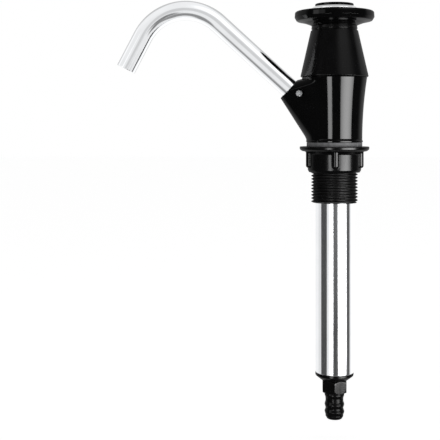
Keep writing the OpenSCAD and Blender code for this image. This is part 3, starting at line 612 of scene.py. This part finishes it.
def make_nut():
    """The flange nut: a turned outline whose wall swells into ribs, and a threaded bore."""
    outline = list(rounded([
        (NUT_EDGE_R, 0.0), (FLANGE_R, 0.0, 0.3), (FLANGE_R, -1.9, 0.9), (23.4, -3.1, 0.9),
        (21.2, -3.6, 1.6), (NUT_R, -5.2, 1.2), (NUT_R, -16.6, 0.6), (18.85, -17.2, 0.4),
        (18.2, NUT_Z0, 0.5), (NUT_EDGE_R, NUT_Z0),
    ], closed=False, steps=7))
    # The straight wall gets rows of its own, for the ribs' rounded feet
    wall_from = max(i for i, (r, z) in enumerate(outline) if z > -5.9 and r < NUT_R + 0.1) + 1
    wall_to = min(i for i, (r, z) in enumerate(outline) if z < -16.3)
    wall = [(NUT_R, z) for z in np.arange(-6.2, -16.2, -0.35)]
    outline = outline[:wall_from] + wall + outline[wall_to:]

    # Columns stand close together over each rib and wider apart between the ribs
    pitch = TURN / RIBS
    spread = [*np.arange(-13, 13.01, 0.4), *np.arange(15, 58, 2.6)]
    angles = np.array(sorted({
        round(RIB_TURN + pitch * n + math.radians(d), 6) for n in range(RIBS) for d in spread
    }))
    off_rib = (angles - RIB_TURN + pitch / 2) % pitch - pitch / 2
    rib_at = NUT_R + RIB_OUT - RIB_R
    rows = []
    for r, z in outline:
        radii = np.full(len(angles), r)
        sink = max(0.0, RIB_Z0 + RIB_FOOT_ROUND - z)
        # The ribs run from the flange's underside down the wall to their rounded feet
        if r > NUT_R - 0.6 and z < -1.0 and sink < RIB_FOOT_ROUND:
            size = RIB_R - RIB_FOOT_ROUND * (1 - math.sqrt(1 - (sink / RIB_FOOT_ROUND) ** 2))
            reach = size ** 2 - (rib_at * np.sin(off_rib)) ** 2
            rib = np.where(reach > 0, rib_at * np.cos(off_rib) + np.sqrt(np.maximum(reach, 0)), r - 2)
            radii = soft_max(rib, radii, RIB_FILLET)
        rows.append(ring(radii, z, angles))
    rows = np.array(rows)
    outer = np.concatenate([rows, rows[:, :1]], axis=1)

    segments, chamfer = 96, 0.6
    profile = thread_profile(
        THREAD_ROOT_R + THREAD_GAP, THREAD_R + THREAD_GAP, 1 / 6 - 0.1, 1 / 6 + 0.1, soft=0.025)
    bore = np.concatenate([
        seamed_rings([(NUT_EDGE_R, NUT_Z0)], segments),
        thread_sheet(NUT_Z0 + chamfer, -chamfer, profile, segments),
        seamed_rings([(NUT_EDGE_R, 0.0)], segments),
    ])
    points = np.concatenate([outer.reshape(-1, 3), bore.reshape(-1, 3)])
    faces = sheet_faces(outer) + sheet_faces(bore, start=outer.shape[0] * outer.shape[1])
    return add_mesh("flange_nut_shell", points, faces, sharp_above=55)


# Spout, its screw, and the inlet cap

def spout_path():
    """Stations along the spout: centre, direction, and the direction across it in its plane."""
    straight = [-SPOUT_DEPTH, -8, -0.2, 0.3, 8, 16, 24, 32, 40, 48, 56, 62, 66, 68.5, SPOUT_LONG - 0.3]
    stations = [(MOUTH + OUT * d, OUT, UP) for d in straight]
    centre = MOUTH + OUT * SPOUT_LONG - UP * BEND_R
    steps = 105
    for k in range(steps + 1):
        a = BEND * k / steps
        across = UP * math.cos(a) + OUT * math.sin(a)
        along = OUT * math.cos(a) - UP * math.sin(a)
        stations.append((centre + across * BEND_R, along, across))
    end = stations[-1][0]
    for d in [0.3, 1.2, 4, 8, 12, 16, 20, 24, SPOUT_TIP - 0.9, SPOUT_TIP - 0.35]:
        stations.append((end + along * d, along, across))
    return stations


def make_spout():
    """The bent tube: its outside, round the lip of its tip, and back along its bore."""
    stations = spout_path()
    segments, lip, bore_r = 112, 0.32, SPOUT_R - SPOUT_WALL
    end, along, across = stations[-1]
    tip = end + along * 0.35
    rings = [(*station, SPOUT_R) for station in stations]
    for back, down in quarter(lip, range(15, 91, 15)):
        rings.append((tip - along * back, along, across, SPOUT_R - down))
    for back, down in quarter(lip, range(90, -1, -30)):
        rings.append((tip - along * back, along, across, bore_r + down))
    rings += [(*station, bore_r) for station in reversed(stations)]
    turns = np.arange(segments) * TURN / segments
    points = [beside(c, d, x, SIDE, r, 0, a) for c, d, x, r in rings for a in turns]
    return add_mesh("spout", points, grid_faces(len(rings), segments, wrap_rows=True))


def beside_screw(radius, height, angle):
    """A point near the screw's axis, which starts on the spout's axis and tilts upwards."""
    way = -SIDE * math.cos(SCREW_TILT) + UP * math.sin(SCREW_TILT)
    across = SIDE * math.sin(SCREW_TILT) + UP * math.cos(SCREW_TILT)
    return beside(MOUTH - OUT * SCREW_DEPTH, way, across, OUT, radius, height, angle)


def make_screw():
    """The socket's screw, with a cross recess in its head."""
    segments, face_r, crown = 72, 1.85, 0.12
    slot_w, slot_l, slot_deep, slot_edge = 0.5, 1.5, 0.45, 0.35
    head = SCREW_SEAT + SCREW_HEAD_T
    turns = np.arange(segments) * TURN / segments
    shank = rounded([
        (0, SCREW_START), (SCREW_R, SCREW_START, 0.2), (SCREW_R, SCREW_SEAT),
        (SCREW_HEAD_R, SCREW_SEAT, 0.2), (SCREW_HEAD_R, head - 0.9, 0.4), (2.2, head - 0.22, 0.5),
        (1.9, head - crown),
    ], closed=False)
    points = [beside_screw(r, h, a) for r, h in shank for a in turns]
    face = np.linspace(face_r, 0, 16)
    for r in face:
        for a in turns:
            x, y = abs(r * math.cos(a)), abs(r * math.sin(a))
            arm = min(max(min(x, y) - slot_w, max(x, y) - slot_l), slot_edge) / slot_edge
            sink = slot_deep * max(0.0, min(1.0, 0.5 - arm * 1.2))
            points.append(beside_screw(r, head - crown + crown * (1 - (r / face_r) ** 2) - sink, a))
    return add_mesh("socket_screw", points, grid_faces(len(shank) + len(face), segments), sharp_above=40)


def cut_screw_pocket(body):
    """Sinks the screw's round pocket into the fairing."""
    segments = 64
    turns = np.arange(segments) * TURN / segments
    points = [beside_screw(SCREW_HEAD_R + 0.12, h, a) for h in (SCREW_SEAT - 0.02, SCREW_SEAT + 8)
              for a in turns]
    ends = [tuple(range(segments)), tuple(range(segments, 2 * segments))]
    cutter = add_mesh("cutter", points, grid_faces(2, segments) + ends)
    cut = body.modifiers.new("pocket", "BOOLEAN")
    cut.operation, cut.solver, cut.object = "DIFFERENCE", "EXACT", cutter
    bpy.context.view_layer.update()
    shape = bpy.data.meshes.new_from_object(body.evaluated_get(bpy.context.evaluated_depsgraph_get()))
    body.modifiers.clear()
    body.data = shape
    bpy.data.objects.remove(cutter)
    shape.shade_smooth()
    shape.set_sharp_from_angle(angle=math.radians(50))


def make_inlet():
    """The inlet cap: its plug in the barrel, collar, hexagon and hose barbs, with its bore."""
    side = TURN / 6
    near_corner = [28, 29, 29.6, 29.9]
    spread = [*np.arange(-26, 26.01, 3.25), *near_corner, *[-d for d in near_corner], 30]
    angles = np.array(sorted({
        round((HEX_TURN + side * n + math.radians(d)) % TURN, 6) for n in range(6) for d in spread
    }))
    off_flat = (angles - HEX_TURN + side / 2) % side - side / 2
    tip = 1 / math.cos(side / 2)
    corner = np.full(len(angles), HEX_FLAT_R * tip - HEX_CORNER_ROUND * (tip - 1))
    hexagon = -soft_max(-HEX_FLAT_R / np.cos(off_flat), -corner, 0.12)

    rows = [ring(r, z, angles) for r, z in rounded([
        (11.5, PLUG_Z1), (PLUG_R, PLUG_Z1, 0.4), (PLUG_R, BARREL_Z0), (BARREL_R, BARREL_Z0, 0.12),
        (BARREL_R, -164.0, 0.7), (12.7, -164.9, 0.9), (9.9, -167.1, 0.5), (8.35, HEX_Z1),
    ], closed=False)]
    steps = [0, 0.15, 0.35, 0.6, 0.9, 2]
    for z in [HEX_Z1 - s for s in steps] + [HEX_Z0 + s for s in reversed(steps)]:
        cone = HEX_FLAT_R - 0.15 + min(HEX_Z1 - z, z - HEX_Z0) / HEX_CHAMFER
        rows.append(ring(-soft_max(-hexagon, -np.full(len(angles), cone), 0.1), z, angles))
    rows.append(ring(8.1, HEX_Z0, angles))
    barbs = []
    for root, crest in (((6.6, HEX_Z0, 0.3), -178.2), ((BARB_ROOT_R, -183.0, 0.4), -185.13),
                        ((BARB_ROOT_R, -188.2, 0.4), -190.33)):
        barbs += [root, (BARB_R, crest + 0.25, 0.25), (BARB_R, crest - 0.25, 0.25),
                  (BARB_ROOT_R, crest - 2.2, 1.0)]
    rows += [ring(r, z, angles) for r, z in rounded([
        (8.0, HEX_Z0), *barbs, (BARB_ROOT_R, -193.6, 0.6), (5.25, HOSE_TAIL_Z0, 0.5),
        (INLET_R, HOSE_TAIL_Z0, 0.2), (INLET_R, HEX_Z1), (THROAT_R, HEX_Z1), (THROAT_R, THROAT_Z1),
        (VALVE_R, VALVE_Z), (VALVE_R, PLUG_Z1),
    ], closed=False)[1:]]
    faces = grid_faces(len(rows), len(angles), wrap_rows=True)
    return add_mesh("inlet", np.concatenate(rows), faces, sharp_above=55)


# Put the pieces together

body = make_body(fairing_tree())
cut_screw_pocket(body)
finish_piece(body, "body", "black_gloss", GLOSS, "pump_body")
finish_piece(make_tail(), "body", "black_tail", DULL, "pump_body")
spout = finish_piece(make_spout(), "body", "polished_steel", SPOUT_STEEL, "spout_tube")
finish_piece(make_screw(), "body", "plain_steel", SCREW_STEEL, "spout_screw")
finish_piece(make_barrel(), "body", "polished_steel", BARREL_STEEL, "barrel_tube")
finish_piece(make_inlet(), "body", "black_tail", NUT_BLACK, "inlet_cap")
finish_piece(make_gasket(), "gasket_ring", "grey_rubber", GREY_RUBBER, "gasket")
finish_piece(make_nut(), "nut", "black_gloss", NUT_BLACK, "flange_nut")
finish_piece(make_skirt(), "handle", "black_gloss", SATIN, "handle_skirt")
finish_piece(make_knob(), "handle", "black_gloss", GLOSS, "knob_disc")
finish_piece(make_ring(), "handle", "bright_ring", CHROME, "knob_ring")
finish_piece(make_cap(), "handle", "black_gloss", GLOSS, "knob_cap")

# The pieces inside keep their CAD shape and get a better material
kept = {
    PLAIN_STEEL: ("handle_nut", "handle_washer", "piston_rod", "valve_stop_washer", "valve_spacer",
                  "piston_washer", "piston_nut", "foot_valve_ball"),
    BLACK_RUBBER: ("gland_seal", "rod_seal", "spout_seal", "barrel_washer", "piston_valve_disc",
                   "piston_seal", "inlet_seal"),
    ACETAL: ("rod_bush", "piston", "foot_valve_cage"),
    DULL: ("gland_cap",),
}
for material, names in kept.items():
    for name in names:
        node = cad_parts[name]
        node.data.materials.clear()
        node.data.materials.append(material)


# Floor, lights, world and camera, in metres

FLOOR_Z, FLOOR_HALF = -0.2155, 6.0
LAMP_DISTANCE = 1.4
CAMERA_PLACE, CAMERA_TILT = (-0.0824, -0.6876, 0.0162), math.radians(90)
SENSOR, LENS, SHIFT_Y = 36.0, 78.1, -0.218


def make_floor():
    """A pale floor that the camera sees as white. It throws no light or shadow of its own."""
    h = FLOOR_HALF
    mesh = bpy.data.meshes.new("floor")
    mesh.from_pydata([(-h, -h, FLOOR_Z), (h, -h, FLOOR_Z), (h, h, FLOOR_Z), (-h, h, FLOOR_Z)], [],
                     [(0, 1, 2, 3)])
    floor = bpy.data.objects.new("floor", mesh)
    bpy.context.scene.collection.objects.link(floor)
    s = Shader("floor_paper", Roughness=0.9, Specular_IOR_Level=0.1)
    s.bsdf.inputs["Base Color"].default_value = (0.8, 0.8, 0.8, 1)
    path = s.node("ShaderNodeLightPath", {})
    s.bsdf.inputs["Emission Color"].default_value = (1, 1, 1, 1)
    s.put("Emission Strength", s.spread(path.outputs["Is Camera Ray"], 0.0, 0.6, 0, 1))
    mesh.materials.append(s.material)
    floor.visible_glossy = False
    floor.visible_shadow = False


def softbox(name, azimuth, elevation, width, height, radiance, edge):
    """A panel of light, in degrees as seen from the pump: azimuth 0 is the camera, + to the right.

    The light falls off to edge times its level at the left and right ends of the panel. The spout
    is left out of it, because it mirrors its own tent alone.
    """
    a, e = math.radians(azimuth), math.radians(elevation)
    way = Vector((math.sin(a) * math.cos(e), -math.cos(a) * math.cos(e), math.sin(e)))
    light = bpy.data.lights.new(name, "AREA")
    light.shape = "RECTANGLE"
    light.size = 2 * LAMP_DISTANCE * math.tan(math.radians(width / 2))
    light.size_y = 2 * LAMP_DISTANCE * math.tan(math.radians(height / 2))
    light.energy = radiance * math.pi * light.size * light.size_y
    light.use_nodes = True
    maker = Nodes(light.node_tree)
    across = maker.split(maker.node("ShaderNodeNewGeometry", {}).outputs["Parametric"])[0]
    off_centre = maker.math("MULTIPLY", maker.math("SUBTRACT", across, 0.5), 2.0)
    fall = maker.math("MULTIPLY", maker.math("MULTIPLY", off_centre, off_centre), 1.0 - edge)
    maker.links.new(maker.math("SUBTRACT", 1.0, fall), maker.tree.nodes["Emission"].inputs["Strength"])
    lamp = bpy.data.objects.new(name, light)
    lamp.location = way * LAMP_DISTANCE
    lamp.rotation_euler = (-way).to_track_quat("-Z", "Y").to_euler()
    bpy.context.scene.collection.objects.link(lamp)
    unlit = bpy.data.collections.new(name)
    unlit.objects.link(spout)
    unlit.collection_objects[0].light_linking.link_state = "EXCLUDE"
    lamp.light_linking.receiver_collection = unlit


# What the pieces mirror. First the level all round, then zones of their own level: azimuth from
# and to, elevation from and to, level, and how soft the edges are, all in degrees.
# Black plastic stands in a dark studio, paler behind the pump, with a white card of two levels on
# the left and a soft patch of light high on the right.
DARK_STUDIO = (0.03, [
    (-200, -116, -90, 8, 0.25, 12), (112, 200, -90, 8, 0.28, 13), (-200, -96, 8, 60, 0.25, 9),
    (100, 200, 8, 60, 0.28, 9), (-200, 200, 34, 90, 0.08, 8), (-70, -52, 10, 20, 0.75, 2),
    (-52, -34, 10, 20, 0.35, 2), (12, 64, 26, 60, 0.5, 16),
])
# All other metal mirrors a white tent, greyer behind and above, with dark flags at the camera
# and on both sides.
METAL_TENT = (0.95, [
    (-200, -100, -90, 30, 0.78, 8), (-200, -118, 4, 62, 0.58, 8), (118, 200, 4, 62, 0.58, 8),
    (-94, -52, -60, 4, 0.05, 4), (-200, 200, 32, 90, 0.55, 10), (-16, 12, -40, 2, 0.1, 4),
    (-19, 20, -40, -11, 0.05, 4), (70, 97, -40, 2, 0.08, 4),
])
# The spout mirrors a tent of its own, greyer behind, with the dark floor in front below.
SPOUT_TENT = (0.93, [
    (-200, -118, 4, 62, 0.56, 8), (118, 200, 4, 62, 0.56, 8), (-14, 24, -4, 26, 0.68, 5),
    (2, 22, -34, -11, 0.22, 4), (20, 50, -38, -22, 0.22, 4), (-80, 42, -68, -36, 0.27, 6),
    (-200, -142, -12, 34, 0.35, 8), (142, 200, -12, 34, 0.35, 8),
])


def make_tent(name, radius, zones, pieces):
    """A dome round the set that only these pieces mirror. It lights and hides nothing."""
    bm = bmesh.new()
    bmesh.ops.create_icosphere(bm, subdivisions=4, radius=radius)
    mesh = bpy.data.meshes.new(name)
    bm.to_mesh(mesh)
    bm.free()
    mesh.shade_smooth()
    tent = bpy.data.objects.new(name, mesh)
    bpy.context.scene.collection.objects.link(tent)
    material = bpy.data.materials.new(name)
    material.use_nodes = True
    material.cycles.emission_sampling = "NONE"
    maker = Nodes(material.node_tree)
    maker.tree.nodes.clear()
    place = maker.node("ShaderNodeTexCoord", {}).outputs["Object"]
    way = maker.node("ShaderNodeVectorMath", {0: place}, operation="NORMALIZE").outputs[0]
    glow = maker.node("ShaderNodeEmission", {"Strength": maker.zones(way, *zones)})
    clear = maker.node("ShaderNodeBsdfTransparent", {})
    both = maker.node("ShaderNodeAddShader", {0: glow.outputs[0], 1: clear.outputs[0]})
    maker.node("ShaderNodeOutputMaterial", {"Surface": both.outputs[0]})
    mesh.materials.append(material)
    for ray in ("camera", "diffuse", "transmission", "shadow", "volume_scatter"):
        setattr(tent, "visible_" + ray, False)
    lit = bpy.data.collections.new(name)
    for piece in pieces:
        lit.objects.link(piece)
    tent.light_linking.receiver_collection = lit


def make_world():
    """White to the camera, the dark studio to reflections, and a soft even light to the rest."""
    world = bpy.data.worlds.new("studio")
    bpy.context.scene.world = world
    world.use_nodes = True
    maker = Nodes(world.node_tree)
    background = maker.tree.nodes["Background"]
    way = maker.node("ShaderNodeTexCoord", {}).outputs["Generated"]
    path = maker.node("ShaderNodeLightPath", {}).outputs
    soft = maker.mix(path["Is Glossy Ray"], 0.5, maker.zones(way, *DARK_STUDIO))
    direct = maker.math("MAXIMUM", path["Is Camera Ray"], path["Is Transmission Ray"])
    maker.links.new(maker.mix(direct, soft, 1.0), background.inputs["Strength"])
    background.inputs["Color"].default_value = (1, 1, 1, 1)


def make_camera():
    data = bpy.data.cameras.new("camera")
    data.sensor_width, data.lens, data.shift_y = SENSOR, LENS, SHIFT_Y
    data.clip_start, data.clip_end = 0.05, 30.0
    camera = bpy.data.objects.new("camera", data)
    camera.location = CAMERA_PLACE
    camera.rotation_euler = (CAMERA_TILT, 0, 0)
    bpy.context.scene.collection.objects.link(camera)
    bpy.context.scene.camera = camera


make_camera()
make_floor()
softbox("key_right", 41.5, -9, 49, 24, 7.9, edge=0.42)
softbox("key_left", -24, -9, 16, 24, 5.0, edge=0.8)
metal = [piece for piece in bpy.data.objects if piece.type == "MESH" and piece.data.materials
         and piece.data.materials[0] in (BARREL_STEEL, CHROME, PLAIN_STEEL, SCREW_STEEL)]
make_tent("barrel_tent", 4.0, METAL_TENT, metal)
make_tent("spout_tent", 4.4, SPOUT_TENT, [spout])
make_world()
bpy.context.scene.view_settings.view_transform = "Standard"
